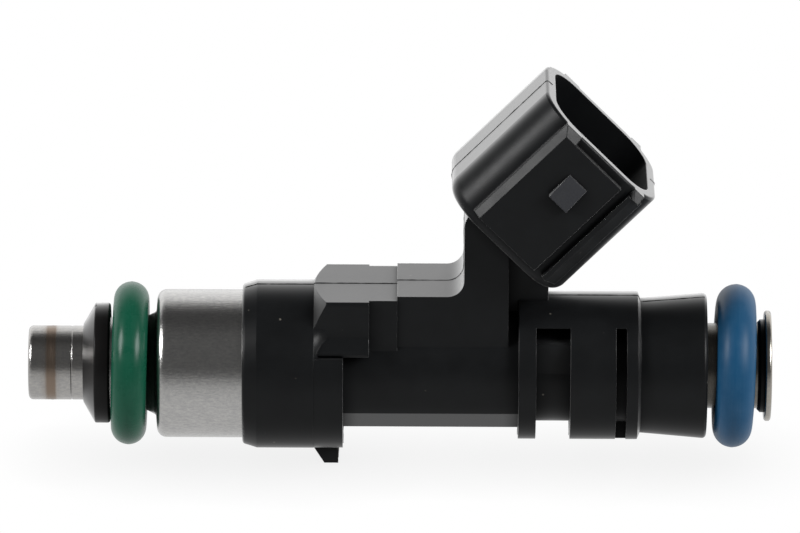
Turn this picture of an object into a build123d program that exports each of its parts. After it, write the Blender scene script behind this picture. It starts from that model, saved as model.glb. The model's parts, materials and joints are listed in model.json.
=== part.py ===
"""Electromagnetic port fuel injector, lying along +X: nozzle tip at the origin, fuel inlet at +X,
electrical connector towards +Z. Millimetres."""

import os

from build123d import *

os.makedirs("parts", exist_ok=True)

AXIS = Axis.X

# Valve sleeve (nozzle tube)
SLEEVE_OUTER = 3.3
SLEEVE_BODY = 3.1
SLEEVE_INNER = 2.8
SLEEVE_END = 34.0
TIP_ROUND = 0.4
WELD_X = 2.12
WELD_HALF_WIDTH = 0.2
WELD_RISE = 0.02
ROLL_GROOVE_X = 3.84
ROLL_GROOVE_HALF = 0.08
ROLL_GROOVE_DEPTH = 0.06

# Spray disc, seat and ball
DISC_X = 0.45
DISC_THICK = 0.25
SPRAY_HOLES = 4
SPRAY_HOLE_RADIUS = 0.11
SPRAY_CIRCLE_RADIUS = 0.33
SEAT_X = DISC_X + DISC_THICK
SEAT_END = 4.7
SEAT_OUTLET_RADIUS = 0.5
SEAT_APEX_X = 1.0
BALL_RADIUS = 1.5
BALL_X = SEAT_APEX_X + BALL_RADIUS * 2**0.5
BALL_CLEARANCE = 0.03
GUIDE_RADIUS = BALL_RADIUS + BALL_CLEARANCE
GUIDE_PASSAGES = 5
PASSAGE_RADIUS = 0.45

# Needle and armature
NEEDLE_OUTER = 1.2
NEEDLE_INNER = 0.8
NEEDLE_X = BALL_X + (BALL_RADIUS**2 - NEEDLE_INNER**2) ** 0.5
NEEDLE_END = 19.5
CROSS_HOLE_RADIUS = 0.4
CROSS_HOLE_X = 6.4
ARMATURE_X = 17.0
ARMATURE_END = 22.0
ARMATURE_CLEARANCE = 0.05
ARMATURE_RADIUS = SLEEVE_INNER - ARMATURE_CLEARANCE
ARMATURE_WAIST_DEPTH = 0.25
SPRING_BORE = 1.6
NEEDLE_LIFT = 0.08

# Fixed core, spring and adjusting sleeve
POLE_X = ARMATURE_END + NEEDLE_LIFT
POLE_END = 36.0
SPRING_WIRE = 0.2
SPRING_MEAN = 1.2
SPRING_END = 30.0
SPRING_TURNS = 9
ADJUSTER_END = 35.0
ADJUSTER_INNER = 1.0
ADJUSTER_SLIT = 0.5

# Coil and magnetic circuit
BOBBIN_X = 13.4
BOBBIN_END = 25.4
BOBBIN_FLANGE = 5.8
BOBBIN_FLANGE_THICK = 0.8
BOBBIN_CORE = 4.0
WINDING_RADIUS = 5.5
HOUSING_RADIUS = 6.6
HOUSING_INNER = 5.85
HOUSING_NECK = 4.08
HOUSING_X = 7.25
HOUSING_NECK_END = 10.3
HOUSING_STEP_X = 11.35
HOUSING_STEP_RADIUS = 4.62
HOUSING_SHOULDER_X = 12.36
HOUSING_FLOOR_X = 13.3
HOUSING_END = 27.0
SHOULDER_ROUND = 0.85
STEP_FILLET = 0.3
TERMINAL_WINDOW_HALF = 3.2
TERMINAL_WINDOW_Z = 3.95

# Lower retainer ring and seals
RETAINER_X = 4.87
RETAINER_CONE_END = 5.93
RETAINER_RADIUS = 5.35
RETAINER_EDGE = 0.2
LOWER_RING_X = 9.01
LOWER_RING_OUTER = 7.27
LOWER_RING_SECTION = 1.585
UPPER_RING_X = 62.85
UPPER_RING_OUTER = 7.29
UPPER_RING_SECTION = 1.745

# Inlet tube
INLET_OUTER = 3.8
INLET_INNER = 3.1
INLET_X = 31.0
INLET_END = 66.1
FLANGE_RADIUS = 4.93
FLANGE_THICK = 0.6
FLANGE_MOUTH_ROUND = 0.5
BACKUP_X = 64.9
BACKUP_RADIUS = 4.15
BACKUP_CHAMFER = 0.25

# Inlet filter
COLLAR_X = 61.6
COLLAR_END = 65.4
COLLAR_INNER = 2.5
FRAME_X = 51.6
FRAME_CAP = 0.9
FRAME_RING_X = 61.6
FRAME_RING_END = 64.2
FRAME_RING_INNER = 1.9
MESH_OUTER = 2.0
MESH_INNER = 1.9
RIB_OUTER = 2.5
RIB_WIDTH = 0.7
RIB_COUNT = 4

# Overmould: collar and lug
COLLAR_FACE_X = 19.05
COLLAR_FACE_RADIUS = 7.1
COLLAR_FACE_ROUND = 0.35
COLLAR_TAPER_END = 20.35
COLLAR_RADIUS = 7.5
COLLAR_STEP_X = 25.4
COLLAR_LOW_END = 28.0
COLLAR_LOW_RADIUS = 7.47
LUG_BOTTOM = -8.85
LUG_HALF = 1.5
LUG_END = 27.6

# Overmould: saddle
SADDLE_CONE_END = 26.6
SADDLE_CONE_RADIUS = 9.36
SADDLE_TOP = 7.6
SADDLE_ONE_END = 30.3
SADDLE_ONE_HALF = 5.45
SADDLE_WALL_Z = 4.25
SADDLE_FOOT_HALF = 6.9
SADDLE_FOOT_Z = 2.8
CHEEK_FOOT_Z = SADDLE_FOOT_Z - 0.3
SADDLE_TWO_END = 32.8
SADDLE_TWO_HALF = 4.8
SADDLE_THREE_TOP = 7.93
SADDLE_EDGE = 0.3
NECK_ROOT_FILLET = 1.5

# Overmould: barrel, clip groove and tapered end
BARREL_RADIUS = 5.6
BARREL_FLAT_DISTANCE = 5.2
BARREL_FLAT_ANGLE = 54
BARREL_END = 43.6
CLIP_FLANGE_RADIUS = 6.6
CLIP_X = 45.15
CLIP_END = 48.2
CLIP_FLOOR = 4.98
CLIP_FLAT = 4.9
CLIP_LEDGE_Z = 3.64
SHOULDER_END = 54.2
RELIEF_X = 52.25
RELIEF_END = 53.2
RELIEF_FLOOR = 5.0
RELIEF_RIB_HALF = 1.2
POCKET_TOP_Z = 4.95
TAPER_X = 54.45
TAPER_START_RADIUS = 6.0
TAPER_END_RADIUS = 6.5
BODY_END = 60.35
BODY_EDGE = 0.35

# Overmould: neck under the connector
NECK_X = 38.72
NECK_WIDE_END = 42.65
NECK_END = 46.2
NECK_HALF = 4.6
WEB_HALF = 1.2
NECK_TOP_Z = 16.4
WEB_TOP_Z = 15.3

# Connector shroud, square to an axis tilted 45 degrees
RIM_CENTRE = (50.79, 0, 21.87)
RIM_NORMAL = (1, 0, 1)
RIM_WIDTH = 14.3
RIM_HEIGHT = 13.65
RIM_CORNER = 3.9
SHROUD_LENGTH = 12.6
SHROUD_WALL = 1.05
SHROUD_HEEL_ROUND = 1.3
RIM_EDGE = 0.25
SOCKET_DEPTH = 9.8
PAD_RISE = 0.65
PAD_TOP = 4.4
PAD_BOTTOM = -3.1
PAD_START = 0.8
PAD_END = 11.5
RAIL_RISE = 0.45
RAIL_TOP = -4.05
RAIL_SHOULDER = -4.5
RAIL_BOTTOM = -5.7
RAIL_FOOT = 6.2
HORNS = ((PAD_TOP, 2.6), (RAIL_TOP, -5.2))
HORN_RIM_RISE = 0.06
HORN_ROOT_DEPTH = 0.9
BOSS_WIDTH = 2.1
BOSS_LENGTH = 2.55
BOSS_DEPTH = 4.3
BOSS_FRONT_HEIGHT = 0.15
BOSS_BACK_HEIGHT = 0.75

# Terminals
BLADE_PITCH = 4.4
BLADE_WIDTH = 1.5
BLADE_THICK = 0.64
BLADE_Z = 4.4
BLADE_RISER_X = 41.5
BLADE_BEND = 1.2
BLADE_TIP_DEPTH = 3.0


def save(part, name):
    """Label one finished piece and write it under its node name."""
    part.label = name
    export_step(part, f"parts/{name}.step")


def ring(x_start, x_end, outer, inner):
    """Plain ring around the injector axis."""
    with BuildPart() as body:
        with BuildSketch(Plane.YZ.offset(x_start)):
            Circle(outer)
            Circle(inner, mode=Mode.SUBTRACT)
        extrude(amount=x_end - x_start)
    return body


# Valve sleeve: drawn tube, rounded tip, raised laser weld bead and a rolled line
with BuildPart() as valve_sleeve:
    with BuildSketch(Plane.XY) as sleeve_profile:
        with BuildLine():
            Polyline(
                (0, SLEEVE_INNER),
                (0, SLEEVE_OUTER),
                (WELD_X - WELD_HALF_WIDTH, SLEEVE_OUTER),
                (WELD_X, SLEEVE_OUTER + WELD_RISE),
                (WELD_X + WELD_HALF_WIDTH, SLEEVE_OUTER),
                (ROLL_GROOVE_X - ROLL_GROOVE_HALF, SLEEVE_OUTER),
                (ROLL_GROOVE_X, SLEEVE_OUTER - ROLL_GROOVE_DEPTH),
                (ROLL_GROOVE_X + ROLL_GROOVE_HALF, SLEEVE_OUTER),
                (RETAINER_X, SLEEVE_OUTER),
                (RETAINER_X, SLEEVE_BODY),
                (SLEEVE_END, SLEEVE_BODY),
                (SLEEVE_END, SLEEVE_INNER),
                close=True,
            )
        make_face()
        tip_corner = sleeve_profile.vertices().group_by(Axis.X)[0].sort_by(Axis.Y)[-1]
        fillet(tip_corner, radius=TIP_ROUND)
    revolve(axis=AXIS)
save(valve_sleeve.part, "valve_sleeve")

# Spray disc: thin disc with a ring of metering holes
with BuildPart() as spray_disc:
    with BuildSketch(Plane.YZ.offset(DISC_X)):
        Circle(SLEEVE_INNER)
        with PolarLocations(SPRAY_CIRCLE_RADIUS, SPRAY_HOLES, start_angle=45):
            Circle(SPRAY_HOLE_RADIUS, mode=Mode.SUBTRACT)
    extrude(amount=DISC_THICK)
save(spray_disc.part, "spray_disc")

# Valve seat: cone under the ball, guide bore with fuel passages around it
with BuildPart() as valve_seat:
    with BuildSketch(Plane.XY):
        with BuildLine():
            Polyline(
                (SEAT_X, SEAT_OUTLET_RADIUS),
                (SEAT_X, SLEEVE_INNER),
                (SEAT_END, SLEEVE_INNER),
                (SEAT_END, GUIDE_RADIUS),
                (SEAT_APEX_X + GUIDE_RADIUS, GUIDE_RADIUS),
                (SEAT_APEX_X + SEAT_OUTLET_RADIUS, SEAT_OUTLET_RADIUS),
                close=True,
            )
        make_face()
    revolve(axis=AXIS)
    with BuildSketch(Plane.YZ.offset(SEAT_APEX_X + GUIDE_RADIUS)):
        with PolarLocations(GUIDE_RADIUS, GUIDE_PASSAGES, start_angle=90):
            Circle(PASSAGE_RADIUS)
    extrude(amount=SEAT_END - SEAT_APEX_X - GUIDE_RADIUS, mode=Mode.SUBTRACT)
save(valve_seat.part, "valve_seat")

# Valve ball
with BuildPart() as valve_ball:
    with BuildSketch(Plane.XY):
        with BuildLine():
            CenterArc((BALL_X, 0), BALL_RADIUS, 0, 180)
            Line((BALL_X - BALL_RADIUS, 0), (BALL_X + BALL_RADIUS, 0))
        make_face()
    revolve(axis=AXIS)
save(valve_ball.part, "valve_ball")

# Needle tube: welded to the ball, cross holes let the fuel out above the seat
with BuildPart() as needle_tube:
    with BuildSketch(Plane.YZ.offset(NEEDLE_X)):
        Circle(NEEDLE_OUTER)
        Circle(NEEDLE_INNER, mode=Mode.SUBTRACT)
    extrude(amount=NEEDLE_END - NEEDLE_X)
    for side_plane in (Plane.XY, Plane.XZ):
        with BuildSketch(side_plane):
            with Locations((CROSS_HOLE_X, 0)):
                Circle(CROSS_HOLE_RADIUS)
        extrude(amount=2 * NEEDLE_OUTER, both=True, mode=Mode.SUBTRACT)
save(needle_tube.part, "needle_tube")

# Armature: guided by two collars, bored for the needle and the spring
with BuildPart() as armature:
    with BuildSketch(Plane.XY) as armature_profile:
        with BuildLine():
            Polyline(
                (ARMATURE_X, NEEDLE_OUTER),
                (ARMATURE_X, ARMATURE_RADIUS),
                (ARMATURE_X + 1.0, ARMATURE_RADIUS),
                (ARMATURE_X + 1.3, ARMATURE_RADIUS - ARMATURE_WAIST_DEPTH),
                (ARMATURE_END - 1.3, ARMATURE_RADIUS - ARMATURE_WAIST_DEPTH),
                (ARMATURE_END - 1.0, ARMATURE_RADIUS),
                (ARMATURE_END, ARMATURE_RADIUS),
                (ARMATURE_END, SPRING_BORE),
                (NEEDLE_END, SPRING_BORE),
                (NEEDLE_END, NEEDLE_OUTER),
                close=True,
            )
        make_face()
    revolve(axis=AXIS)
save(armature.part, "armature")

# Inner pole: fixed core, bored for spring and adjusting sleeve
inner_pole = ring(POLE_X, POLE_END, SLEEVE_INNER, SPRING_BORE)
save(inner_pole.part, "inner_pole")

# Return spring: open coil between needle and adjusting sleeve
SPRING_LENGTH = SPRING_END - NEEDLE_END - 2 * SPRING_WIRE
with BuildPart() as return_spring:
    with BuildLine():
        coil_path = Helix(
            pitch=SPRING_LENGTH / SPRING_TURNS,
            height=SPRING_LENGTH,
            radius=SPRING_MEAN,
            center=(NEEDLE_END + SPRING_WIRE, 0, 0),
            direction=(1, 0, 0),
        )
    with BuildSketch(Plane(origin=coil_path @ 0, z_dir=coil_path % 0)):
        Circle(SPRING_WIRE)
    sweep(path=coil_path, is_frenet=True)
save(return_spring.part, "return_spring")

# Adjusting sleeve: slit tube pressed into the pole
with BuildPart() as adjusting_sleeve:
    with BuildSketch(Plane.YZ.offset(SPRING_END)):
        Circle(SPRING_BORE)
        Circle(ADJUSTER_INNER, mode=Mode.SUBTRACT)
        with Locations((0, -SPRING_BORE)):
            Rectangle(ADJUSTER_SLIT, 2 * SPRING_BORE, mode=Mode.SUBTRACT)
    extrude(amount=ADJUSTER_END - SPRING_END)
save(adjusting_sleeve.part, "adjusting_sleeve")


def blade(y_centre):
    """Bent terminal blade from the coil to the connector mouth."""
    tip = Vector(*RIM_CENTRE) - Vector(*RIM_NORMAL).normalized() * BLADE_TIP_DEPTH
    riser_top = tip.Z - (tip.X - BLADE_RISER_X)
    with BuildPart() as body:
        with BuildSketch(Plane.XZ.offset(-y_centre - BLADE_WIDTH / 2)):
            with BuildLine() as route:
                Polyline(
                    (BOBBIN_END - BOBBIN_FLANGE_THICK, BLADE_Z),
                    (BLADE_RISER_X, BLADE_Z),
                    (BLADE_RISER_X, riser_top),
                    (tip.X, tip.Z),
                )
                bends = route.vertices().filter_by(lambda v: abs(v.X - BLADE_RISER_X) < BLADE_THICK)
                fillet(bends, radius=BLADE_BEND)
            trace(line_width=BLADE_THICK)
        extrude(amount=BLADE_WIDTH)
    return body


terminal_left = blade(-BLADE_PITCH / 2)
save(terminal_left.part, "terminal_left")
terminal_right = blade(BLADE_PITCH / 2)
save(terminal_right.part, "terminal_right")

# Coil bobbin: spool on the sleeve with a window for the blades in its upper flange
with BuildPart() as coil_bobbin:
    with BuildSketch(Plane.XY):
        with BuildLine():
            Polyline(
                (BOBBIN_X, SLEEVE_BODY),
                (BOBBIN_X, BOBBIN_FLANGE),
                (BOBBIN_X + BOBBIN_FLANGE_THICK, BOBBIN_FLANGE),
                (BOBBIN_X + BOBBIN_FLANGE_THICK, BOBBIN_CORE),
                (BOBBIN_END - BOBBIN_FLANGE_THICK, BOBBIN_CORE),
                (BOBBIN_END - BOBBIN_FLANGE_THICK, BOBBIN_FLANGE),
                (BOBBIN_END, BOBBIN_FLANGE),
                (BOBBIN_END, SLEEVE_BODY),
                close=True,
            )
        make_face()
    revolve(axis=AXIS)
    add(terminal_left.part, mode=Mode.SUBTRACT)
    add(terminal_right.part, mode=Mode.SUBTRACT)
save(coil_bobbin.part, "coil_bobbin")

# Coil winding
coil_winding = ring(
    BOBBIN_X + BOBBIN_FLANGE_THICK, BOBBIN_END - BOBBIN_FLANGE_THICK, WINDING_RADIUS, BOBBIN_CORE
)
save(coil_winding.part, "coil_winding")

# Magnet housing: drawn cup, its narrow neck flared before a square, rounded shoulder
with BuildPart() as magnet_housing:
    with BuildSketch(Plane.XY) as housing_profile:
        with BuildLine():
            Polyline(
                (HOUSING_X, SLEEVE_BODY),
                (HOUSING_X, HOUSING_NECK),
                (HOUSING_NECK_END, HOUSING_NECK),
                (HOUSING_STEP_X, HOUSING_STEP_RADIUS),
                (HOUSING_SHOULDER_X - SHOULDER_ROUND, HOUSING_RADIUS),
                (HOUSING_END, HOUSING_RADIUS),
                (HOUSING_END, HOUSING_INNER),
                (HOUSING_FLOOR_X, HOUSING_INNER),
                (HOUSING_FLOOR_X, SLEEVE_BODY),
                close=True,
            )
        make_face()
        shoulder = housing_profile.vertices().filter_by(
            lambda v: abs(v.Y - HOUSING_RADIUS) < 0.01 and v.X < HOUSING_SHOULDER_X
        )
        fillet(shoulder, radius=SHOULDER_ROUND)
        step = housing_profile.vertices().filter_by(
            lambda v: abs(v.Y - HOUSING_STEP_RADIUS) < 0.01
        )
        fillet(step, radius=STEP_FILLET)
    revolve(axis=AXIS)
save(magnet_housing.part, "magnet_housing")

# Magnet cover: iron washer, open at the top where the blades pass
with BuildPart() as magnet_cover:
    with BuildSketch(Plane.YZ.offset(BOBBIN_END)):
        Circle(HOUSING_INNER)
        Circle(SLEEVE_BODY, mode=Mode.SUBTRACT)
        with Locations((0, TERMINAL_WINDOW_Z + HOUSING_RADIUS)):
            Rectangle(2 * TERMINAL_WINDOW_HALF, 2 * HOUSING_RADIUS, mode=Mode.SUBTRACT)
    extrude(amount=HOUSING_END - BOBBIN_END)
save(magnet_cover.part, "magnet_cover")

# Lower retainer ring: cone at the front, rounded rims
with BuildPart() as lower_retainer_ring:
    with BuildSketch(Plane.XY) as retainer_profile:
        with BuildLine():
            Polyline(
                (RETAINER_X, SLEEVE_BODY),
                (RETAINER_X, SLEEVE_OUTER + RETAINER_EDGE),
                (RETAINER_CONE_END, RETAINER_RADIUS),
                (HOUSING_X, RETAINER_RADIUS),
                (HOUSING_X, SLEEVE_BODY),
                close=True,
            )
        make_face()
        fillet(retainer_profile.vertices().group_by(Axis.Y)[-1], radius=RETAINER_EDGE)
    revolve(axis=AXIS)
save(lower_retainer_ring.part, "lower_retainer_ring")


def seal(x_centre, outer, section):
    """O-ring around the injector axis."""
    with BuildPart() as body:
        with BuildSketch(Plane.XY):
            with Locations((x_centre, outer - section)):
                Circle(section)
        revolve(axis=AXIS)
    return body


lower_o_ring = seal(LOWER_RING_X, LOWER_RING_OUTER, LOWER_RING_SECTION)
save(lower_o_ring.part, "lower_o_ring")
upper_o_ring = seal(UPPER_RING_X, UPPER_RING_OUTER, UPPER_RING_SECTION)
save(upper_o_ring.part, "upper_o_ring")

# Inlet tube: slides over the sleeve, turned-out flange at the mouth
with BuildPart() as inlet_tube:
    with BuildSketch(Plane.XY) as inlet_profile:
        with BuildLine():
            Polyline(
                (INLET_X, INLET_INNER),
                (INLET_X, INLET_OUTER),
                (INLET_END - FLANGE_THICK, INLET_OUTER),
                (INLET_END - FLANGE_THICK, FLANGE_RADIUS),
                (INLET_END, FLANGE_RADIUS),
                (INLET_END, INLET_INNER),
                close=True,
            )
        make_face()
        rim_corners = inlet_profile.vertices().group_by(Axis.Y)[-1]
        fillet(rim_corners, radius=FLANGE_THICK * 0.4)
        mouth = inlet_profile.vertices().filter_by(
            lambda v: v.Y < INLET_OUTER - 0.1 and v.X > INLET_END - 0.1
        )
        fillet(mouth, radius=FLANGE_MOUTH_ROUND)
    revolve(axis=AXIS)
save(inlet_tube.part, "inlet_tube")

# Backup ring under the inlet flange
with BuildPart() as upper_backup_ring:
    with BuildSketch(Plane.XY) as backup_profile:
        with BuildLine():
            Polyline(
                (BACKUP_X, INLET_OUTER),
                (BACKUP_X, BACKUP_RADIUS - BACKUP_CHAMFER),
                (BACKUP_X + BACKUP_CHAMFER, BACKUP_RADIUS),
                (INLET_END - FLANGE_THICK, BACKUP_RADIUS),
                (INLET_END - FLANGE_THICK, INLET_OUTER),
                close=True,
            )
        make_face()
    revolve(axis=AXIS)
save(upper_backup_ring.part, "upper_backup_ring")

# Inlet filter: brass collar, plastic cage and mesh sleeve
filter_collar = ring(COLLAR_X, COLLAR_END, INLET_INNER, COLLAR_INNER)
save(filter_collar.part, "filter_collar")
with BuildPart() as filter_frame:
    with BuildSketch(Plane.YZ.offset(FRAME_X)):
        Circle(RIB_OUTER)
    extrude(amount=FRAME_CAP)
    with BuildSketch(Plane.YZ.offset(FRAME_RING_X)):
        Circle(COLLAR_INNER)
        Circle(FRAME_RING_INNER, mode=Mode.SUBTRACT)
    extrude(amount=FRAME_RING_END - FRAME_RING_X)
    with BuildSketch(Plane.YZ.offset(FRAME_X + FRAME_CAP)):
        with PolarLocations((RIB_OUTER + MESH_OUTER) / 2, RIB_COUNT):
            Rectangle(RIB_OUTER - MESH_OUTER, RIB_WIDTH)
    extrude(amount=FRAME_RING_X - FRAME_X - FRAME_CAP)
save(filter_frame.part, "filter_frame")
filter_mesh = ring(FRAME_X + FRAME_CAP, FRAME_RING_X, MESH_OUTER, MESH_INNER)
save(filter_mesh.part, "filter_mesh")


rim_axis = Vector(*RIM_NORMAL).normalized()
rim_plane = Plane(origin=RIM_CENTRE, x_dir=(0, 1, 0), z_dir=RIM_NORMAL)
socket_floor = rim_plane.offset(-SOCKET_DEPTH)
shroud_back = rim_plane.offset(-SHROUD_LENGTH)
pad_back = rim_plane.offset(-PAD_END)
pad_face = RIM_WIDTH / 2 + PAD_RISE
horn_root = RIM_WIDTH / 2 - HORN_ROOT_DEPTH

# Connector shroud on its own: rounded box, side pads above a channel and a rail, latch boss
with BuildPart() as shroud:
    with BuildSketch(shroud_back):
        RectangleRounded(RIM_WIDTH, RIM_HEIGHT, RIM_CORNER)
    extrude(amount=SHROUD_LENGTH)
    rim_outline = shroud.faces().sort_by(Axis(RIM_CENTRE, RIM_NORMAL))[-1].edges()
    fillet(rim_outline, radius=RIM_EDGE)
    heel_edges = shroud.faces().sort_by(Axis(RIM_CENTRE, RIM_NORMAL))[0].edges()
    fillet(heel_edges, radius=SHROUD_HEEL_ROUND)
    with BuildSketch(pad_back):
        for side in (-1, 1):
            with BuildLine():
                Polyline(
                    (side * RIM_WIDTH / 4, PAD_TOP + PAD_RISE),
                    (side * RIM_WIDTH / 2, PAD_TOP),
                    (side * pad_face, PAD_TOP - PAD_RISE),
                    (side * pad_face, PAD_BOTTOM),
                    (side * RIM_WIDTH / 4, PAD_BOTTOM),
                    close=True,
                )
            make_face()
            with BuildLine():
                Polyline(
                    (side * RIM_WIDTH / 4, RAIL_TOP),
                    (side * (RIM_WIDTH / 2 + RAIL_RISE), RAIL_TOP),
                    (side * (RIM_WIDTH / 2 + RAIL_RISE), RAIL_SHOULDER),
                    (side * RAIL_FOOT, RAIL_BOTTOM),
                    (side * RIM_WIDTH / 4, RAIL_BOTTOM),
                    close=True,
                )
            make_face()
    extrude(amount=PAD_END - PAD_START)
    # Horns that carry the pads and rails forward, sloping down to the rim
    for side in (-1, 1):
        for horn_top, horn_foot in HORNS:
            for depth, rise in ((PAD_START, PAD_RISE), (0, HORN_RIM_RISE)):
                with BuildSketch(rim_plane.offset(-depth)):
                    with BuildLine():
                        Polyline(
                            (side * horn_root, horn_top),
                            (side * RIM_WIDTH / 2, horn_top),
                            (side * (RIM_WIDTH / 2 + rise), horn_top - rise),
                            (side * (RIM_WIDTH / 2 + rise), horn_foot),
                            (side * horn_root, horn_foot),
                            close=True,
                        )
                    make_face()
            loft(ruled=True)
    # Latch ramps, steep towards the back
    ramp_plane = Plane(
        origin=Vector(*RIM_CENTRE) - rim_axis * BOSS_DEPTH - rim_plane.y_dir * BOSS_WIDTH / 2,
        x_dir=(0, 1, 0),
        z_dir=rim_plane.y_dir,
    )
    with BuildSketch(ramp_plane):
        for side in (-1, 1):
            Polygon(
                (side * RIM_WIDTH / 2, -BOSS_LENGTH / 2),
                (side * (pad_face + BOSS_FRONT_HEIGHT), -BOSS_LENGTH / 2),
                (side * (pad_face + BOSS_BACK_HEIGHT), BOSS_LENGTH / 2),
                (side * RIM_WIDTH / 2, BOSS_LENGTH / 2),
                align=None,
            )
    extrude(amount=BOSS_WIDTH)

# Cheeks that lead the round collar inwards to the flat sides of the saddle,
# with their foot buried in the lower half of the collar
cheek_height = (COLLAR_RADIUS**2 - SADDLE_ONE_HALF**2) ** 0.5 - CHEEK_FOOT_Z
with BuildPart() as cheek:
    with BuildSketch(Plane.YZ.offset(COLLAR_STEP_X)):
        Circle(COLLAR_RADIUS)
        with Locations((0, CHEEK_FOOT_Z)):
            Rectangle(
                2 * COLLAR_RADIUS, cheek_height, align=(Align.CENTER, Align.MIN), mode=Mode.INTERSECT
            )
    with BuildSketch(Plane.YZ.offset(SADDLE_CONE_END)):
        with Locations((0, CHEEK_FOOT_Z)):
            Rectangle(2 * SADDLE_ONE_HALF, cheek_height, align=(Align.CENTER, Align.MIN))
    loft(ruled=True)

# Overmoulded body around the magnet housing, the inlet tube and the blades
with BuildPart() as overmold_body:
    # Turned shapes: collar, barrel, clip flanges and tapered end
    with BuildSketch(Plane.XY) as turned_profile:
        with BuildLine():
            Polyline(
                (COLLAR_FACE_X, 0),
                (COLLAR_FACE_X, COLLAR_FACE_RADIUS),
                (COLLAR_TAPER_END, COLLAR_RADIUS),
                (COLLAR_STEP_X, COLLAR_RADIUS),
                (COLLAR_STEP_X, BARREL_RADIUS),
                (BARREL_END, BARREL_RADIUS),
                (BARREL_END, CLIP_FLANGE_RADIUS),
                (SHOULDER_END, CLIP_FLANGE_RADIUS),
                (TAPER_X, TAPER_START_RADIUS),
                (BODY_END, TAPER_END_RADIUS),
                (BODY_END, 0),
                close=True,
            )
        make_face()
        collar_corner = turned_profile.vertices().group_by(Axis.X)[0].sort_by(Axis.Y)[-1]
        fillet(collar_corner, radius=COLLAR_FACE_ROUND)
        end_corner = turned_profile.vertices().group_by(Axis.X)[-1].sort_by(Axis.Y)[-1]
        fillet(end_corner, radius=BODY_EDGE)
    revolve(axis=AXIS)
    # Moulding flats along the lower flanks of the barrel
    for side in (-1, 1):
        flat_plane = Plane(
            origin=(COLLAR_LOW_END, 0, 0),
            x_dir=(1, 0, 0),
            z_dir=Vector(0, side, 0).rotate(Axis.X, -side * BARREL_FLAT_ANGLE),
        )
        with BuildSketch(flat_plane.offset(BARREL_FLAT_DISTANCE)):
            with Locations(((BARREL_END - COLLAR_LOW_END) / 2, 0)):
                Rectangle(BARREL_END - COLLAR_LOW_END, BARREL_RADIUS)
        extrude(amount=BARREL_RADIUS, mode=Mode.SUBTRACT)
    # Lower half of the collar runs further
    with BuildSketch(Plane.YZ.offset(COLLAR_STEP_X)):
        Circle(COLLAR_LOW_RADIUS)
        with Locations((0, SADDLE_FOOT_Z)):
            Rectangle(
                2 * COLLAR_RADIUS, 2 * COLLAR_RADIUS, align=(Align.CENTER, Align.MIN), mode=Mode.SUBTRACT
            )
    extrude(amount=COLLAR_LOW_END - COLLAR_STEP_X)
    # Locating lug under the collar
    with BuildSketch(Plane.XZ.offset(-LUG_HALF)) as lug_profile:
        with BuildLine():
            Polyline(
                (COLLAR_STEP_X - 1, -BARREL_RADIUS),
                (COLLAR_STEP_X - 1, LUG_BOTTOM),
                (LUG_END, LUG_BOTTOM),
                (LUG_END, -BARREL_RADIUS),
                close=True,
            )
        make_face()
    extrude(amount=2 * LUG_HALF)
    # Saddle, first stage with sloping feet
    with BuildSketch(Plane.YZ.offset(COLLAR_STEP_X)) as saddle_section:
        Polygon(
            (-SADDLE_ONE_HALF, SADDLE_TOP),
            (-SADDLE_ONE_HALF, SADDLE_WALL_Z),
            (-SADDLE_FOOT_HALF, SADDLE_FOOT_Z),
            (SADDLE_FOOT_HALF, SADDLE_FOOT_Z),
            (SADDLE_ONE_HALF, SADDLE_WALL_Z),
            (SADDLE_ONE_HALF, SADDLE_TOP),
            align=None,
        )
        fillet(saddle_section.vertices().group_by(Axis.Z)[-1], radius=SADDLE_EDGE)
    extrude(amount=SADDLE_ONE_END - COLLAR_STEP_X)
    # Cone that ends the saddle and the lug towards the collar
    with BuildSketch(Plane.XY):
        Polygon(
            (COLLAR_STEP_X, COLLAR_RADIUS),
            (COLLAR_STEP_X, 2 * COLLAR_RADIUS),
            (SADDLE_CONE_END, 2 * COLLAR_RADIUS),
            (SADDLE_CONE_END, SADDLE_CONE_RADIUS),
            align=None,
        )
        Polygon(
            (COLLAR_STEP_X, COLLAR_RADIUS),
            (COLLAR_STEP_X, 2 * COLLAR_RADIUS),
            (COLLAR_FACE_X, 2 * COLLAR_RADIUS),
            (COLLAR_FACE_X, COLLAR_RADIUS),
            align=None,
        )
    revolve(axis=AXIS, mode=Mode.SUBTRACT)
    # Saddle, second stage
    with BuildSketch(Plane.YZ.offset(SADDLE_ONE_END)):
        Rectangle(2 * SADDLE_TWO_HALF, SADDLE_TOP, align=(Align.CENTER, Align.MIN))
    extrude(amount=SADDLE_TWO_END - SADDLE_ONE_END)
    # Saddle, third stage, and the neck rising from it
    with BuildSketch(Plane.XZ.offset(-NECK_HALF)) as neck_profile:
        Polygon(
            (SADDLE_TWO_END, 0),
            (SADDLE_TWO_END, SADDLE_THREE_TOP),
            (NECK_X, SADDLE_THREE_TOP),
            (NECK_X, NECK_TOP_Z),
            (NECK_WIDE_END, NECK_TOP_Z - 1),
            (NECK_WIDE_END, 0),
            align=None,
        )
        neck_root = neck_profile.vertices().filter_by(
            lambda v: abs(v.X - NECK_X) < 0.01 and v.Z < SADDLE_THREE_TOP + 1
        )
        fillet(neck_root, radius=NECK_ROOT_FILLET)
    extrude(amount=2 * NECK_HALF)
    with BuildSketch(Plane.XZ.offset(-WEB_HALF)):
        Polygon(
            (NECK_WIDE_END, 0),
            (NECK_WIDE_END, WEB_TOP_Z),
            (NECK_END, WEB_TOP_Z - NECK_END + NECK_WIDE_END),
            (NECK_END, 0),
            align=None,
        )
    extrude(amount=2 * WEB_HALF)
    add(cheek.part)
    add(shroud.part)
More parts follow.
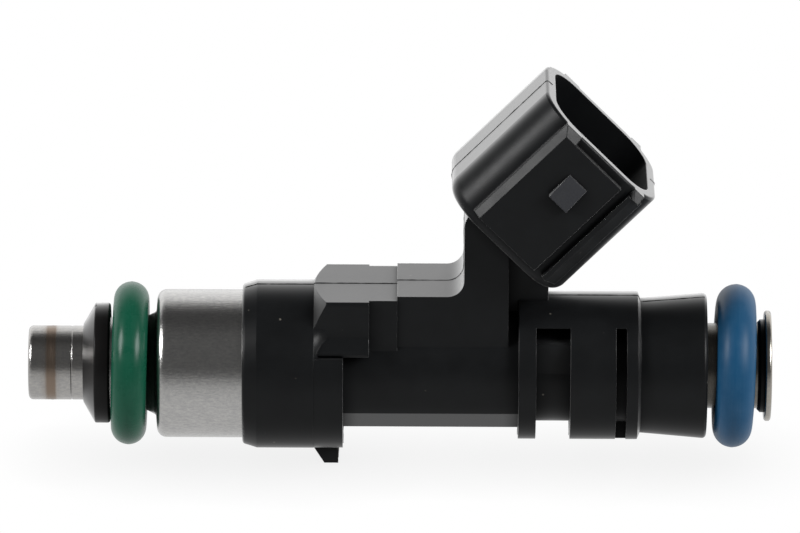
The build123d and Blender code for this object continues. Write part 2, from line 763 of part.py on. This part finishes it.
    # Clip groove: round floor with a flat on each side, and a ledge where the flats end
    with BuildSketch(Plane.YZ.offset(CLIP_X)):
        with Locations((0, POCKET_TOP_Z)):
            Rectangle(4 * CLIP_FLOOR, 4 * CLIP_FLOOR, align=(Align.CENTER, Align.MAX))
        Circle(CLIP_FLOOR, mode=Mode.SUBTRACT)
        Rectangle(
            2 * CLIP_FLAT, CLIP_LEDGE_Z, align=(Align.CENTER, Align.MIN), mode=Mode.SUBTRACT
        )
    extrude(amount=CLIP_END - CLIP_X, mode=Mode.SUBTRACT)
    # Narrow side pockets in the end section, parted by a rib underneath
    with BuildSketch(Plane.YZ.offset(RELIEF_X)):
        with Locations((0, POCKET_TOP_Z)):
            Rectangle(4 * CLIP_FLOOR, 4 * CLIP_FLOOR, align=(Align.CENTER, Align.MAX))
        Circle(RELIEF_FLOOR, mode=Mode.SUBTRACT)
        Rectangle(2 * RELIEF_RIB_HALF, 4 * CLIP_FLANGE_RADIUS, mode=Mode.SUBTRACT)
    extrude(amount=RELIEF_END - RELIEF_X, mode=Mode.SUBTRACT)
    # Room for the magnet housing, the sleeve and the inlet tube
    for bore_start, bore_end, bore_radius in (
        (COLLAR_FACE_X, HOUSING_END, HOUSING_RADIUS),
        (HOUSING_END, INLET_X, SLEEVE_BODY),
        (INLET_X, BODY_END, INLET_OUTER),
    ):
        with BuildSketch(Plane.YZ.offset(bore_start)):
            Circle(bore_radius)
        extrude(amount=bore_end - bore_start, mode=Mode.SUBTRACT)
    # Connector socket and the blades moulded in
    with BuildSketch(socket_floor):
        RectangleRounded(
            RIM_WIDTH - 2 * SHROUD_WALL, RIM_HEIGHT - 2 * SHROUD_WALL, RIM_CORNER - SHROUD_WALL
        )
    extrude(amount=SOCKET_DEPTH, mode=Mode.SUBTRACT)
    add(terminal_left.part, mode=Mode.SUBTRACT)
    add(terminal_right.part, mode=Mode.SUBTRACT)
save(overmold_body.part, "overmold_body")
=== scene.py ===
import json
import math
import random

import bmesh
import bpy
from mathutils import Matrix, Quaternion, Vector


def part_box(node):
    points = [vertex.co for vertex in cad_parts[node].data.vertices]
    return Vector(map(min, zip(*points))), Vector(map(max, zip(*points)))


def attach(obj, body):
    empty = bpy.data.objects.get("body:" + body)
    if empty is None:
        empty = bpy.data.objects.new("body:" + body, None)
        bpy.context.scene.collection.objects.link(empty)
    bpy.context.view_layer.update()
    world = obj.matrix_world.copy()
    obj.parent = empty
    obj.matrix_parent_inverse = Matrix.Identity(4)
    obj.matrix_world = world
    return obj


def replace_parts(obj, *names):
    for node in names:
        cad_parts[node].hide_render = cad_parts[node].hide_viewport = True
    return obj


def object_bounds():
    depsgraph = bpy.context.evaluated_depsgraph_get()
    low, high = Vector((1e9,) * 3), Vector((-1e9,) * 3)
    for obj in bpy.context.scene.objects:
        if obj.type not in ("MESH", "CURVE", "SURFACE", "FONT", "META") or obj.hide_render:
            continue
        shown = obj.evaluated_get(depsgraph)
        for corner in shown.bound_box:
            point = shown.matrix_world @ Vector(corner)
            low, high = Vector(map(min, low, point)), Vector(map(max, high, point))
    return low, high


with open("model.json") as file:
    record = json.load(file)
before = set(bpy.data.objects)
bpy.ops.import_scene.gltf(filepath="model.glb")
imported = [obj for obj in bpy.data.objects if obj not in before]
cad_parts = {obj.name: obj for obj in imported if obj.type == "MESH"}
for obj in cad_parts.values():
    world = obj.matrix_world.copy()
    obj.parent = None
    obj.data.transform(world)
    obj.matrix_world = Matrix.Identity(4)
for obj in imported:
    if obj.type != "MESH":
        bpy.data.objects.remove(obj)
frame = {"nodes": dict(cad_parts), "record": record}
cad_low, cad_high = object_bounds()

# ---------------------------------------------------------------- sizes, in millimetres
MM = 0.001
BODY = "injector_body"
NODES = frame["nodes"]
MOUNTS = {mount["name"]: Vector(mount["pos_m"]) / MM for mount in frame["record"]["mounts"]}
RIM = MOUNTS["plug_socket"]
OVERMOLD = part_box("overmold_body")

# Catch ramps on the connector's sides, worn over the outer part of their rise
RAMP_RISE = 0.68
RAMP_WORN_FROM = OVERMOLD[1].y / MM - RAMP_RISE

# Seals: lean in degrees, play inside the CAD ring, flash height, a slight swell, and mesh density
SEAL_TILTS = {"lower_o_ring": 1.2, "upper_o_ring": 1.6}
SEAL_CLEARANCE = 0.015
SEAL_FLASH = 0.014
SEAL_SWELL = 0.0015
SEAL_SWELL_WAVES = 3
SEAL_SWELL_PHASE = 0.7
SEAL_AROUND = 192
SEAL_ACROSS = 48

# Mould parting line: rib section, how uneven it is, spacing of its points, and shortest run kept
SEAM_HEIGHT = 0.055
SEAM_HALF_WIDTH = 0.06
SEAM_UNEVEN = (0.6, 1.25)
SEAM_SEED = 5
SEAM_STEP = 0.35
SEAM_SHORTEST = 0.8
SEAM_DIGITS = 3
CUT_TOLERANCE = 0.0001

# Hollows that the parting line stays out of, and how near it comes to the overmould's two ends
SEAM_START = OVERMOLD[0].x / MM + 0.25
SEAM_END = OVERMOLD[1].x / MM - 0.2
SOCKET_DEPTH = 10.2
SOCKET_HALF = 6.3
SOCKET_LIP = 0.5
BORE_RADIUS = 4.85
COLLAR_BORE = 7.0
COLLAR_END = 27.3

# Weld band on the nozzle: distance from the tip and strength of the tint
WELD_REACH = 10.0
WELD_BAND = ((1.05, 0.0), (1.5, 0.25), (1.75, 1.0), (2.42, 1.0), (2.6, 0.2), (3.0, 0.0))

# Floor, and the faint contact shadow painted on it
FLOOR_HALF = 1500.0
FLOOR_DROP = 0.05
CONTACT_REACH = 9.0
CONTACT_SHADE = 0.16

# Camera: looks along +Y from above, slightly rolled, and VIEW_WIDTH spans the picture at AIM
VIEW_WIDTH = 71.111
ELEVATION = math.radians(19.0)
ROLL = math.radians(0.27)
AIM = Vector((33.03, 0, 9.2)) * MM
SENSOR_WIDTH = 36.0

# Distances of the camera and the soft boxes from AIM, and the clipping range, in metres
CAMERA_DISTANCE = 0.9
LIGHT_DISTANCE = 0.5
CLIP_START = 0.01
CLIP_END = 10.0

# ---------------------------------------------------------------- light levels and reflectivity
BLACK = (0.0, 0.0, 0.0, 1.0)
WHITE = (1.0, 1.0, 1.0, 1.0)

# Degrees round the injector axis and brightness: 0 is level in front, 90 straight up, 180 level behind
STUDIO_LEVELS = (
    (-180, 1.0), (-150, 0.88), (-50, 0.86), (-26, 0.76), (-13, 0.58), (0, 0.20), (8, 0.14),
    (60, 0.14), (90, 0.075), (112, 0.09), (126, 0.53), (138, 1.4), (180, 1.45),
)

# Black plastic: reflectivity head-on, its rise towards a grazing angle, and its ceiling
HEAD_ON_SHINE = 0.011
GRAZE_POWER = 5.0
GRAZE_GAIN = 1.3
MOST_SHINE = 0.62
# Painted shade in the plastic's crevices, on its colour and reflectivity: reach in millimetres, and power
PLASTIC_SHADE_REACH = 1.4
PLASTIC_SHADE_POWER = 1.3

STEEL_ROUGHNESS = 0.22
TURNED_DEPTH = 0.3
# Reach of the painted shade in the inlet tube's corners, in millimetres
INLET_SHADE_REACH = 2.2
RUBBER_IOR = 1.25

# Sockets of the Mix node in colour mode
MIX_FACTOR = 0
MIX_A = 6
MIX_B = 7
MIX_RESULT = 2


# ---------------------------------------------------------------- shader helpers
class Tree:
    """Adds shader nodes to one node tree and links them."""

    def __init__(self, tree):
        self.tree = tree
        self.tree.nodes.clear()

    def add(self, kind, inputs=None, **settings):
        node = self.tree.nodes.new(kind)
        for key, value in settings.items():
            setattr(node, key, value)
        for key, value in (inputs or {}).items():
            self.set(node, key, value)
        return node

    def set(self, node, key, value):
        if isinstance(value, bpy.types.NodeSocket):
            self.tree.links.new(value, node.inputs[key])
        else:
            node.inputs[key].default_value = value

    def math(self, operation, *values):
        return self.add("ShaderNodeMath", dict(enumerate(values)), operation=operation).outputs[0]

    def scaled(self, value, factor):
        return self.math("MULTIPLY", value, factor)

    def ramp(self, value, stops):
        """Grey level that runs straight between (position, level) stops."""
        node = self.add("ShaderNodeValToRGB", {"Fac": value})
        elements = node.color_ramp.elements
        while len(elements) > 1:
            elements.remove(elements[-1])
        for index, (position, level) in enumerate(stops):
            element = elements[0] if index == 0 else elements.new(position)
            element.position = position
            element.color = (level, level, level, 1.0)
        return node.outputs["Color"]

    def mix(self, factor, a, b):
        inputs = {MIX_FACTOR: factor, MIX_A: a, MIX_B: b}
        return self.add("ShaderNodeMix", inputs, data_type="RGBA").outputs[MIX_RESULT]

    def blend(self, factor, a, b):
        return self.add("ShaderNodeMixShader", {0: factor, 1: a, 2: b}).outputs[0]

    def noise(self, vector, scale, detail=3.0, rough=0.55):
        inputs = {"Vector": vector, "Scale": scale, "Detail": detail, "Roughness": rough}
        return self.add("ShaderNodeTexNoise", inputs).outputs["Fac"]

    def position(self, scale=(1.0, 1.0, 1.0)):
        """Rest position in millimetres times a scale, so every pattern stays with its piece."""
        coords = self.add("ShaderNodeTexCoord").outputs["Object"]
        scale = tuple(s / MM for s in scale)
        return self.add("ShaderNodeMapping", {"Vector": coords, "Scale": scale}).outputs[0]

    def split(self, vector):
        return self.add("ShaderNodeSeparateXYZ", {"Vector": vector}).outputs

    def bump(self, height, strength, distance, normal):
        inputs = {"Height": height, "Strength": strength, "Distance": distance * MM}
        if normal is not None:
            inputs["Normal"] = normal
        return self.add("ShaderNodeBump", inputs).outputs[0]

    def soft_edge(self, radius, samples):
        return self.add("ShaderNodeBevel", {"Radius": radius * MM}, samples=samples).outputs[0]

    def crevice(self, distance):
        """1 on open faces, towards 0 in corners and slots narrower than the distance; the materials and
        the floor use it to paint shade.
        """
        inputs = {"Distance": distance * MM}
        return self.add("ShaderNodeAmbientOcclusion", inputs, samples=8).outputs["AO"]

    def principled(self, color, roughness, normal, **extra):
        inputs = {"Base Color": color, "Roughness": roughness, "Normal": normal, **extra}
        return self.add("ShaderNodeBsdfPrincipled", inputs).outputs[0]


def rgb(r, g, b):
    """sRGB 0-255 to linear RGBA."""
    out = []
    for c in (r, g, b):
        c = c / 255.0
        out.append(c / 12.92 if c <= 0.04045 else ((c + 0.055) / 1.055) ** 2.4)
    return (*out, 1.0)


def shade(color, factor):
    return rgb(*[min(255, c * factor) for c in color])


def material(name, build):
    mat = bpy.data.materials.new(name)
    mat.use_nodes = True
    tree = Tree(mat.node_tree)
    tree.add("ShaderNodeOutputMaterial", {"Surface": build(tree)})
    return mat


# ---------------------------------------------------------------- materials
def dust_specks(tree, pos):
    """1 on small round specks that lie in scattered patches, 0 elsewhere."""
    cells = tree.add("ShaderNodeTexVoronoi", {"Vector": pos, "Scale": 0.62}, feature="F1")
    speck = tree.ramp(cells.outputs["Distance"], [(0.0, 1.0), (0.045, 1.0), (0.075, 0.0)])
    chosen = tree.ramp(tree.noise(pos, scale=0.55, detail=1.0), [(0.52, 0.0), (0.56, 1.0)])
    return tree.math("MULTIPLY", speck, chosen)


def plastic_shine(tree, normal, unshaded):
    """Reflectivity: low head-on, high at a grazing angle, with painted shade that cuts it where it faces
    down and in crevices.
    """
    graze = tree.add("ShaderNodeLayerWeight", {"Blend": 0.5, "Normal": normal}).outputs["Facing"]
    graze = tree.scaled(tree.math("POWER", graze, GRAZE_POWER), GRAZE_GAIN)
    # Painted shade on the underside: the grazing reflection drops where the face turns down
    facing_up = tree.split(tree.add("ShaderNodeNewGeometry").outputs["Normal"])[2]
    from_below = tree.math("MULTIPLY_ADD", facing_up, 0.5, 0.5)
    graze = tree.math("MULTIPLY", graze, tree.ramp(from_below, [(0.12, 0.35), (0.42, 1.0)]))
    shine = tree.math("MINIMUM", tree.math("ADD", graze, HEAD_ON_SHINE), MOST_SHINE)
    # Painted shade: reflectivity cut in corners and slots
    return tree.math("MULTIPLY", shine, tree.math("MULTIPLY_ADD", unshaded, 0.8, 0.2))


def black_plastic(base=(16, 17, 18), edge=0.12, rough=0.34, worn_ramp=False):
    """Satin glass-filled nylon: dark head-on, bright at a grazing angle, painted shade in crevices,
    dusty.
    """

    def build(tree):
        pos = tree.position()
        grain = tree.noise(pos, scale=9.0, detail=4.0, rough=0.6)
        cloud = tree.noise(pos, scale=0.45)
        flow = tree.noise(tree.position((0.25, 1.0, 1.0)), scale=1.6, detail=4.0, rough=0.65)
        color = tree.mix(cloud, shade(base, 0.8), shade(base, 1.2))
        color = tree.mix(tree.scaled(dust_specks(tree, pos), 0.55), color, rgb(112, 108, 100))
        roughness = tree.math("ADD", tree.scaled(cloud, 0.12), rough - 0.06)
        roughness = tree.math("ADD", roughness, tree.scaled(flow, 0.06))
        if worn_ramp:
            away = tree.math("ABSOLUTE", tree.split(pos)[1])
            worn = tree.math("GREATER_THAN", away, RAMP_WORN_FROM)
            patch = tree.noise(pos, scale=6.0, detail=5.0, rough=0.7)
            color = tree.mix(worn, color, tree.mix(patch, rgb(34, 35, 38), rgb(50, 51, 54)))
            roughness = tree.math("ADD", roughness, tree.scaled(worn, 0.2))
        normal = tree.bump(grain, 0.10, 0.02, tree.soft_edge(edge, samples=6))
        unshaded = tree.math("POWER", tree.crevice(PLASTIC_SHADE_REACH), PLASTIC_SHADE_POWER)
        shine = plastic_shine(tree, normal, unshaded)
        # Painted shade: the colour goes down to 0.4 of itself in corners and slots
        color = tree.mix(tree.math("MULTIPLY_ADD", unshaded, 0.6, 0.4), BLACK, color)
        matt = tree.add("ShaderNodeBsdfDiffuse", {"Color": color, "Normal": normal}).outputs[0]
        gloss = {"Color": WHITE, "Roughness": roughness, "Normal": normal}
        glossy = tree.add("ShaderNodeBsdfGlossy", gloss).outputs[0]
        return tree.blend(shine, matt, glossy)

    return build


def weld_band(tree, pos):
    """1 on the band round the nozzle, with an uneven edge, fading out to 0 beside it."""
    uneven = tree.scaled(tree.noise(pos, scale=2.0, detail=2.0), 0.1)
    along = tree.math("ADD", tree.split(pos)[0], uneven)
    stops = [(from_tip / WELD_REACH, level) for from_tip, level in WELD_BAND]
    return tree.ramp(tree.scaled(along, 1 / WELD_REACH), stops)


def steel(base=(184, 183, 180), weld=False, warm_reflection=0.0):
    """Turned steel: fine lines round the axis, pits, streaks along the axis and faint stains.

    weld adds a straw-brown band. The last argument paints a brownish reflection in patches, and painted
    shade in corners.
    """

    def build(tree):
        pos = tree.position()
        turned = tree.noise(tree.position((11.0, 0.22, 0.22)), scale=1.0, detail=5.0, rough=0.75)
        speckle = tree.noise(tree.position((2.2, 5.0, 5.0)), scale=1.0, detail=5.0, rough=0.8)
        drawn = tree.noise(tree.position((0.35, 5.0, 5.0)), scale=1.0, detail=4.0, rough=0.7)
        stain_and_reflection = tree.noise(pos, scale=0.8, detail=4.0)
        color = tree.mix(tree.scaled(stain_and_reflection, 0.5), rgb(*base), shade(base, 0.9))
        pitted = tree.ramp(speckle, [(0.36, 0.0), (0.66, 1.0)])
        color = tree.mix(tree.scaled(pitted, 0.4), color, rgb(112, 113, 121))
        if warm_reflection:
            # Painted reflection: brownish patches on the tube
            color = tree.mix(tree.scaled(stain_and_reflection, warm_reflection), color, rgb(150, 134, 100))
            # Painted shade: darker in the tube's corners
            color = tree.mix(tree.crevice(INLET_SHADE_REACH), BLACK, color)
        roughness = tree.math("ADD", tree.scaled(turned, 0.10), STEEL_ROUGHNESS - 0.05)
        if weld:
            band = weld_band(tree, pos)
            color = tree.mix(band, color, rgb(126, 112, 100))
            roughness = tree.math("ADD", roughness, tree.scaled(band, 0.1))
        normal = tree.bump(turned, TURNED_DEPTH, 0.004, tree.soft_edge(0.03, samples=8))
        normal = tree.bump(speckle, 0.35, 0.03, normal)
        normal = tree.bump(drawn, 0.3, 0.03, normal)
        return tree.principled(color, roughness, normal, Metallic=1.0)

    return build


def rubber(base, pale, bloom, rough):
    """Satin fluorocarbon rubber: a pale bloom in faint clouds, streaks round the ring, and grain."""

    def build(tree):
        pos = tree.position()
        cloud = tree.noise(pos, scale=0.9, detail=4.0)
        streak = tree.noise(tree.position((7.0, 0.35, 0.35)), scale=1.0, detail=4.0, rough=0.6)
        grain = tree.noise(pos, scale=14.0)
        dusty = tree.math("MULTIPLY", cloud, tree.math("ADD", streak, 0.2))
        color = tree.mix(tree.scaled(dusty, bloom), rgb(*base), rgb(*pale))
        roughness = tree.math("ADD", tree.scaled(cloud, 0.1), rough - 0.05)
        normal = tree.bump(grain, 0.14, 0.01, None)
        normal = tree.bump(streak, 0.1, 0.015, normal)
        return tree.principled(color, roughness, normal, IOR=RUBBER_IOR)

    return build


def plain(base, rough, metallic=0.0):
    """Small inner pieces: a base colour with faint clouds and grain."""

    def build(tree):
        pos = tree.position()
        color = tree.mix(tree.noise(pos, scale=1.3), shade(base, 0.86), rgb(*base))
        grain = tree.noise(pos, scale=12.0)
        normal = tree.bump(grain, 0.1, 0.01, tree.soft_edge(0.04, samples=4))
        return tree.principled(color, rough, normal, Metallic=metallic)

    return build


BODY_BLACK = material("body_black", black_plastic(worn_ramp=True))
RING_BLACK = material("ring_black", black_plastic(base=(21, 20, 20), edge=0.1, rough=0.3))
BARE_STEEL = material("bare_steel", plain((150, 149, 146), rough=0.3, metallic=1.0))
TIN = material("blade_tin", plain((186, 184, 178), rough=0.28, metallic=1.0))
GREEN = material("seal_green", rubber((5, 66, 47), (104, 150, 134), bloom=0.10, rough=0.28))
BLUE = material("seal_blue", rubber((4, 59, 92), (120, 156, 184), bloom=0.12, rough=0.42))
LOOKS = {
    "overmold_body": BODY_BLACK,
    "lower_retainer_ring": RING_BLACK,
    "upper_backup_ring": RING_BLACK,
    "magnet_housing": material("housing_steel", steel()),
    "valve_sleeve": material("nozzle_steel", steel(base=(174, 172, 168), weld=True)),
    "inlet_tube": material("inlet_steel", steel(base=(176, 174, 169), warm_reflection=0.4)),
    "lower_o_ring": GREEN,
    "upper_o_ring": BLUE,
    "terminal_left": TIN,
    "terminal_right": TIN,
    "coil_winding": material("copper", plain((176, 96, 56), rough=0.35, metallic=1.0)),
    "coil_bobbin": material("bobbin", plain((150, 132, 104), rough=0.5)),
    "filter_collar": material("collar_brass", plain((190, 152, 84), rough=0.28, metallic=1.0)),
    "filter_frame": material("filter_nylon", plain((168, 160, 138), rough=0.5)),
    "filter_mesh": material("filter_wire", plain((140, 138, 132), rough=0.4, metallic=1.0)),
    "valve_ball": material("ball", plain((205, 205, 205), rough=0.08, metallic=1.0)),
    "return_spring": material("spring", plain((130, 130, 130), rough=0.3, metallic=1.0)),
}
for name, node in NODES.items():
    look = LOOKS.get(name, BARE_STEEL)
    slots = node.data.materials
    if not slots:
        slots.append(look)
    for index in range(len(slots)):
        slots[index] = look


# ---------------------------------------------------------------- mesh helpers
def mesh_object(name, verts, faces, look, smooth=False):
    """Object from points in millimetres, with its faces turned outward."""
    mesh = bpy.data.meshes.new(name)
    mesh.from_pydata([tuple(Vector(v) * MM) for v in verts], [], faces)
    bm = bmesh.new()
    bm.from_mesh(mesh)
    bmesh.ops.recalc_face_normals(bm, faces=bm.faces)
    bm.to_mesh(mesh)
    bm.free()
    if smooth:
        mesh.shade_smooth()
    mesh.materials.append(look)
    obj = bpy.data.objects.new(name, mesh)
    bpy.context.scene.collection.objects.link(obj)
    return obj


# ---------------------------------------------------------------- seals, leaning a little on their seats
def seal(name, node, look):
    """O-ring in the space of a CAD ring: a fine flash line inside and out, its top leaning to +X."""
    low, high = (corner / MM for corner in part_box(node))
    section = (high.x - low.x) / 2
    ring_radius = high.z - section + SEAL_CLEARANCE
    centre = Vector(((high.x + low.x) / 2, 0, 0))
    lean = Matrix.Rotation(math.radians(SEAL_TILTS[node]), 3, "Y")
    around, across = SEAL_AROUND, SEAL_ACROSS
    verts, faces = [], []
    for i in range(around):
        a = math.tau * i / around
        swell = 1.0 + SEAL_SWELL * math.sin(SEAL_SWELL_WAVES * a + SEAL_SWELL_PHASE)
        for j in range(across):
            b = math.tau * j / across
            flash = SEAL_FLASH if j in (0, across // 2) else 0.0
            r = (section - SEAL_CLEARANCE) * swell + flash
            radial = ring_radius + r * math.cos(b)
            point = Vector((r * math.sin(b), radial * math.cos(a), radial * math.sin(a)))
            verts.append(lean @ point + centre)
            i2, j2 = (i + 1) % around, (j + 1) % across
            faces.append((i * across + j, i * across + j2, i2 * across + j2, i2 * across + j))
    obj = mesh_object(name, verts, faces, look, smooth=True)
    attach(obj, BODY)
    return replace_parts(obj, node)


seal("lower_seal", "lower_o_ring", GREEN)
seal("upper_seal", "upper_o_ring", BLUE)


# ---------------------------------------------------------------- mould parting line along the overmould
def outer_skin(x, z):
    """True where a point of the middle plane lies on the outside of the overmould."""
    diagonal = math.sqrt(0.5)
    depth = -((x - RIM.x) + (z - RIM.z)) * diagonal
    up = ((z - RIM.z) - (x - RIM.x)) * diagonal
    if abs(up) < SOCKET_HALF and -SOCKET_LIP < depth < SOCKET_DEPTH:
        return False
    if x < COLLAR_END:
        return abs(z) > COLLAR_BORE and x > SEAM_START
    return abs(z) > BORE_RADIUS and x < SEAM_END


def skin_links(source):
    """Neighbours of each point where the middle plane cuts the outside of a mesh."""
    bm = bmesh.new()
    bm.from_mesh(source.data)
    geometry = bm.verts[:] + bm.edges[:] + bm.faces[:]
    plane = {"plane_co": (0, 0, 0), "plane_no": (0, 1, 0)}
    cut = bmesh.ops.bisect_plane(bm, geom=geometry, dist=CUT_TOLERANCE * MM, **plane)
    links = {}
    for item in cut["geom_cut"]:
        if not isinstance(item, bmesh.types.BMEdge):
            continue
        a, b = (tuple(round(c / MM, SEAM_DIGITS) for c in v.co) for v in item.verts)
        if a == b or not outer_skin((a[0] + b[0]) / 2, (a[2] + b[2]) / 2):
            continue
        links.setdefault(a, set()).add(b)
        links.setdefault(b, set()).add(a)
    bm.free()
    return links


def parting_chains(source):
    """Chains of points along the outside of a mesh in the middle plane, open ends first."""
    links = skin_links(source)
    chains = []
    while links:
        start = min(links, key=lambda p: (len(links[p]), p))
        chain = [start]
        while links.get(chain[-1]):
            here = chain[-1]
            there = min(links[here])
            links[here].discard(there)
            links[there].discard(here)
            chain.append(there)
        for point in chain:
            if point in links and not links[point]:
                del links[point]
        if len(chain) > 1:
            chains.append([Vector(point) for point in chain])
    return chains


def resample(chain):
    """The chain with its long edges divided into steps of about SEAM_STEP."""
    out = [chain[0]]
    for a, b in zip(chain, chain[1:]):
        count = max(1, round((b - a).length / SEAM_STEP))
        out += [a.lerp(b, (k + 1) / count) for k in range(count)]
    return out


def ridge(name, chains, look):
    """Thin diamond-section rib along each chain, its height slightly uneven."""
    rng = random.Random(SEAM_SEED)
    verts, faces = [], []
    for chain in chains:
        points = resample(chain)
        if sum((b - a).length for a, b in zip(points, points[1:])) < SEAM_SHORTEST:
            continue
        first = len(verts)
        for k, point in enumerate(points):
            ahead = points[min(k + 1, len(points) - 1)] - points[max(k - 1, 0)]
            across = Vector((-ahead.z, 0, ahead.x)).normalized()
            side = across * SEAM_HEIGHT * rng.uniform(*SEAM_UNEVEN)
            width = Vector((0, SEAM_HALF_WIDTH, 0))
            verts += [point + side, point + width, point - side, point - width]
        for k in range(len(points) - 1):
            for j in range(4):
                a, b = first + 4 * k + j, first + 4 * k + (j + 1) % 4
                faces.append((a, b, b + 4, a + 4))
        last = len(verts) - 4
        faces.append((first + 3, first + 2, first + 1, first))
        faces.append((last, last + 1, last + 2, last + 3))
    return mesh_object(name, verts, faces, look)


seam = ridge("mould_parting_line", parting_chains(NODES["overmold_body"]), RING_BLACK)
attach(seam, BODY)


# ---------------------------------------------------------------- light
def studio_world():
    """White table below, a dim room in front and above, and a bright sweep behind."""
    world = bpy.data.worlds.new("studio")
    bpy.context.scene.world = world
    world.use_nodes = True
    tree = Tree(world.node_tree)
    direction = tree.split(tree.add("ShaderNodeTexCoord").outputs["Generated"])
    turn = tree.math("ARCTAN2", direction["Z"], tree.scaled(direction["Y"], -1.0))
    share = tree.math("ADD", tree.math("DIVIDE", turn, math.tau), 0.5)
    glow = tree.ramp(share, [((angle + 180) / 360, level) for angle, level in STUDIO_LEVELS])
    lit = tree.add("ShaderNodeBackground", {"Color": glow, "Strength": 1.0}).outputs[0]
    white = tree.add("ShaderNodeBackground", {"Color": WHITE, "Strength": 1.0}).outputs[0]
    seen = tree.add("ShaderNodeLightPath").outputs["Is Camera Ray"]
    tree.add("ShaderNodeOutputWorld", {"Surface": tree.blend(seen, lit, white)})


def soft_box(name, azimuth, elevation, width, height, radiance):
    """Soft box at an azimuth right of the camera side and an elevation, its size as seen, in degrees."""
    az, el = math.radians(azimuth), math.radians(elevation)
    towards = Vector((math.cos(el) * math.sin(az), -math.cos(el) * math.cos(az), math.sin(el)))
    data = bpy.data.lights.new(name, "AREA")
    data.shape = "RECTANGLE"
    data.size = 2 * LIGHT_DISTANCE * math.tan(math.radians(width / 2))
    data.size_y = 2 * LIGHT_DISTANCE * math.tan(math.radians(height / 2))
    data.energy = radiance * data.size * data.size_y * math.pi
    light = bpy.data.objects.new(name, data)
    light.location = AIM + towards * LIGHT_DISTANCE
    light.rotation_euler = (-towards).to_track_quat("-Z", "Y").to_euler()
    light.visible_camera = False
    bpy.context.scene.collection.objects.link(light)


studio_world()
soft_box("left_box", azimuth=-72, elevation=29, width=20, height=22, radiance=22.0)
soft_box("right_box", azimuth=62, elevation=30, width=26, height=22, radiance=20.0)


# ---------------------------------------------------------------- stage: pale floor
def pale_floor(tree):
    """White, with a painted contact shadow: a little darker right next to the object."""
    # Painted shadow: one minus the openness, scaled by CONTACT_SHADE
    beside = tree.math("SUBTRACT", 1.0, tree.crevice(CONTACT_REACH))
    level = tree.math("SUBTRACT", 1.0, tree.scaled(beside, CONTACT_SHADE))
    return tree.add("ShaderNodeEmission", {"Color": WHITE, "Strength": level}).outputs[0]


def floor_stage():
    """Floor just under the object, seen by the camera only, since the world already lights from below."""
    z = cad_low.z / MM - FLOOR_DROP
    signs = ((-1, -1), (1, -1), (1, 1), (-1, 1))
    corners = [(sx * FLOOR_HALF, sy * FLOOR_HALF, z) for sx, sy in signs]
    floor = mesh_object("floor", corners, [(0, 1, 2, 3)], material("pale_floor", pale_floor))
    floor.visible_glossy = False
    floor.visible_diffuse = False
    floor.visible_shadow = False


floor_stage()


# ---------------------------------------------------------------- camera
back = Vector((0, -math.cos(ELEVATION), math.sin(ELEVATION)))
camera = bpy.data.objects.new("camera", bpy.data.cameras.new("camera"))
bpy.context.scene.collection.objects.link(camera)
camera.location = AIM + back * CAMERA_DISTANCE
camera.rotation_mode = "QUATERNION"
camera.rotation_quaternion = (-back).to_track_quat("-Z", "Y") @ Quaternion((0, 0, 1), ROLL)
camera.data.sensor_width = SENSOR_WIDTH
camera.data.lens = SENSOR_WIDTH * CAMERA_DISTANCE / (VIEW_WIDTH * MM)
camera.data.clip_start = CLIP_START
camera.data.clip_end = CLIP_END
bpy.context.scene.camera = camera
bpy.context.scene.view_settings.view_transform = "Standard"
bpy.context.scene.view_settings.look = "None"
bpy.context.scene.cycles.use_denoising = True
